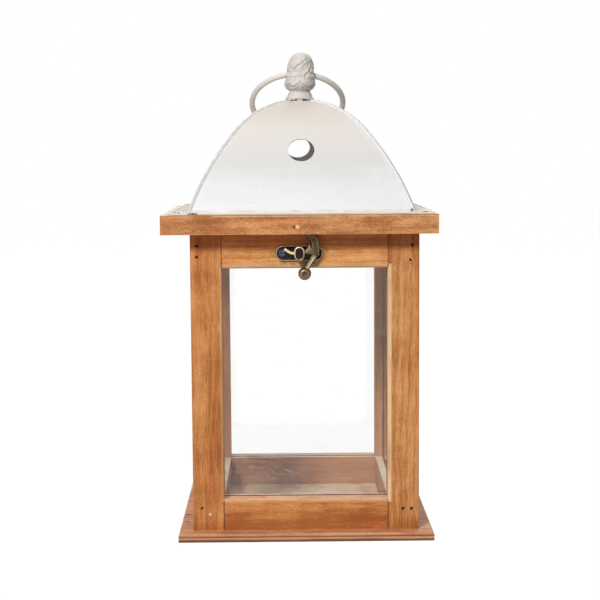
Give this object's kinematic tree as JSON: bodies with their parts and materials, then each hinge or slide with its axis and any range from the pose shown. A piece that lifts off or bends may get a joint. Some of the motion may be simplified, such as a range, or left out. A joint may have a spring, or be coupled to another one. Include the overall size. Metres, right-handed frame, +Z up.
{
  "type": "candle lantern",
  "caption": "Square glazed wooden candle lantern with a hinged lid, curved sheet metal roof with vents, cone finial, carrying ring and swinging horn latch.",
  "frame": {"origin": "middle of the underside of the base board, which the lantern stands on", "axes": "+Z up, -Y out of the front where the latch is, +X to the right seen from the front"},
  "size_m": [0.19, 0.19, 0.3447],
  "materials": {
    "case_wood": "thin brown stain over softwood",
    "lid_wood": "thin orange-brown stain over softwood",
    "base_wood": "thin brown stain over softwood",
    "dowel_wood": "plain beech",
    "pane_glass": "clear float glass",
    "roof_enamel": "matt off-white paint",
    "cast_enamel": "matt greige paint over cast metal",
    "ring_enamel": "matt greige paint over steel wire",
    "aged_bronze": "antique bronze plating, worn bright on the edges",
    "bright_brass": "bright brass",
    "dark_steel": "dull dark nail steel",
    "plated_steel": "zinc plated"
  },
  "bodies": {
    "root": {"base_board": "base_wood", "base_screws": "plated_steel", "post_front_left": "case_wood", "post_front_right": "case_wood", "post_back_left": "case_wood", "post_back_right": "case_wood", "bottom_rail_front": "case_wood", "bottom_rail_back": "case_wood", "bottom_rail_left": "case_wood", "bottom_rail_right": "case_wood", "top_rail_front": "case_wood", "top_rail_back": "case_wood", "top_rail_left": "case_wood", "top_rail_right": "case_wood", "glass_front": "pane_glass", "glass_back": "pane_glass", "glass_left": "pane_glass", "glass_right": "pane_glass", "frame_nails": "dark_steel", "rail_dowels": "dowel_wood", "latch_keeper": "aged_bronze", "keeper_screws": "aged_bronze", "hinge_leaves_case": "aged_bronze", "hinge_pins": "aged_bronze", "hinge_screws_case": "aged_bronze"},
    "lid": {"lid_front": "lid_wood", "lid_back": "lid_wood", "lid_left": "lid_wood", "lid_right": "lid_wood", "roof_front": "roof_enamel", "roof_back": "roof_enamel", "roof_left": "roof_enamel", "roof_right": "roof_enamel", "roof_nails": "roof_enamel", "finial": "cast_enamel", "finial_bolt": "plated_steel", "crown_washer": "plated_steel", "latch_pin": "bright_brass", "hinge_leaves_lid": "aged_bronze", "hinge_screws_lid": "aged_bronze"},
    "horn": {"latch_horn": "aged_bronze"},
    "ring": {"carry_ring": "ring_enamel"}
  },
  "joints": [
    {"name": "lid_hinge", "type": "hinge", "parent": "root", "child": "lid", "pos_m": [0, 0.0817, 0.2131], "axis": [-1, 0, 0], "range_deg": [0, 100]},
    {"name": "latch_swing", "type": "hinge", "parent": "lid", "child": "horn", "pos_m": [-0.005, -0.0847, 0.2203], "axis": [0, -1, 0], "range_deg": [0, 48]},
    {"name": "ring_swing", "type": "hinge", "parent": "lid", "child": "ring", "pos_m": [-0.0032, 0, 0.3282], "axis": [1, 0, 0], "range_deg": [0, 254]}
  ]
}
